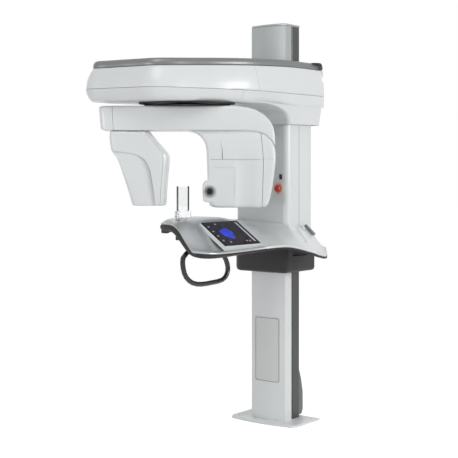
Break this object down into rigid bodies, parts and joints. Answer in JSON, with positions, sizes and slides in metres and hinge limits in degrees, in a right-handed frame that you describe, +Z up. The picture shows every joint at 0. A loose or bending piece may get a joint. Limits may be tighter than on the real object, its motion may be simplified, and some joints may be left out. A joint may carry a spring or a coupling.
{
  "type": "panoramic x-ray machine",
  "caption": "Floor-column panoramic dental x-ray machine: lifting carriage with overhead unit, console and handle, and a turning arm with tube head and sensor head.",
  "frame": {"origin": "on the floor, at the middle of the floor plate's underside", "axes": "+Z up along the column; -Y is the way the overhead unit and the console reach out from the column; +X is the operator's side, where the console slopes down, and the patient stands on the -X side"},
  "size_m": [0.945, 1.2732, 2.3],
  "materials": {
    "aluminium": "plain machined or extruded aluminium",
    "black_gloss": "gloss black",
    "black_rubber": "matt black rubber",
    "circuit_board": "green laminate",
    "clear_acrylic": "clear polished acrylic",
    "dark_glass": "dark display glass",
    "dark_metal": "dark grey painted metal",
    "dark_plastic": "charcoal satin plastic",
    "grey_trim": "mid-grey satin trim",
    "red_button": "red gloss plastic",
    "silver_paint": "silver-grey satin paint",
    "steel": "ground steel",
    "white_plastic": "satin white moulded plastic"
  },
  "bodies": {
    "base": {"floor_plate": "silver_paint", "column_front_cover": "silver_paint", "column_upper_profile": "aluminium", "column_frame": "dark_metal", "column_top_cap": "dark_plastic", "lift_rail_left": "steel", "lift_rail_right": "steel", "name_plate": "aluminium", "lift_actuator_body": "aluminium", "cable_cover": "grey_trim"},
    "carriage": {"lift_actuator_rod": "steel", "carriage_frame": "steel", "carriage_front_cover": "white_plastic", "carriage_rear_cover_left": "white_plastic", "carriage_rear_cover_right": "white_plastic", "lift_runner_left": "dark_metal", "lift_runner_right": "dark_metal", "column_collar": "white_plastic", "overhead_lower_shell": "white_plastic", "overhead_upper_shell": "white_plastic", "overhead_lid": "grey_trim", "overhead_frame": "steel", "cross_motor": "dark_metal", "console_deck": "silver_paint", "console_tray": "white_plastic", "console_underbody": "dark_plastic", "display_panel": "dark_glass", "patient_handle": "black_gloss", "control_box": "dark_plastic", "control_board": "circuit_board", "power_supply": "aluminium", "accessory_rail": "grey_trim"},
    "cross_stage": {"cross_slide": "aluminium"},
    "depth_stage": {"depth_slide": "aluminium", "slewing_bearing": "steel", "turning_motor": "dark_metal", "drive_belt": "black_rubber"},
    "arm": {"arm_shaft": "steel", "hub_cover": "black_gloss", "arm_shell": "white_plastic", "arm_end_cap": "white_plastic", "arm_beam": "steel", "sensor_head_cover": "white_plastic", "sensor_head_front": "white_plastic", "sensor_mount": "dark_metal", "flat_panel_detector": "dark_metal", "tube_head_cover": "white_plastic", "tube_head_rear_cover": "white_plastic", "tube_mount": "dark_metal", "tube_housing": "aluminium", "collimator": "dark_metal", "camera_ring": "grey_trim", "camera_lens": "dark_glass"},
    "pulley": {"motor_pulley": "aluminium"},
    "blade": {"collimator_blade": "steel"},
    "chin_rest": {"chin_rest_base": "clear_acrylic", "chin_support": "clear_acrylic"},
    "knob": {"clamp_knob": "dark_plastic"},
    "stop": {"emergency_stop": "red_button"},
    "switch": {"power_switch": "black_gloss"}
  },
  "joints": [
    {"name": "carriage_lift", "type": "slide", "parent": "base", "child": "carriage", "axis": [0, 0, 1], "range_m": [-0.4, 0.2]},
    {"name": "cross_travel", "type": "slide", "parent": "carriage", "child": "cross_stage", "axis": [1, 0, 0], "range_m": [-0.012, 0.012]},
    {"name": "depth_travel", "type": "slide", "parent": "cross_stage", "child": "depth_stage", "axis": [0, 1, 0], "range_m": [-0.02, 0.01]},
    {"name": "arm_turn", "type": "hinge", "parent": "depth_stage", "child": "arm", "pos_m": [-0.105, -0.667, 1.85], "axis": [0, 0, 1], "range_deg": [-100, 130]},
    {"name": "pulley_turn", "type": "hinge", "parent": "depth_stage", "child": "pulley", "pos_m": [-0.239, -0.667, 1.85], "axis": [0, 0, 1], "range_deg": [-800, 1040]},
    {"name": "blade_slide", "type": "slide", "parent": "arm", "child": "blade", "axis": [0, 0, 1], "range_m": [-0.02, 0.03]},
    {"name": "chin_rest_lift", "type": "slide", "parent": "carriage", "child": "chin_rest", "axis": [0, 0, 1], "range_m": [0, 0.04]},
    {"name": "knob_turn", "type": "hinge", "parent": "carriage", "child": "knob", "pos_m": [-0.01, -0.835, 1.09], "axis": [0, 0, 1], "range_deg": [0, 270]},
    {"name": "stop_press", "type": "slide", "parent": "carriage", "child": "stop", "axis": [0, 1, 0], "range_m": [0, 0.005], "stiffness_N_per_m": 2000},
    {"name": "switch_rock", "type": "hinge", "parent": "carriage", "child": "switch", "pos_m": [0.138, -0.131, 1.417], "axis": [1, 0, 0], "range_deg": [0, 6]}
  ],
  "couplings": [
    {"joint": "pulley_turn", "follows": "arm_turn", "ratio": 8}
  ]
}
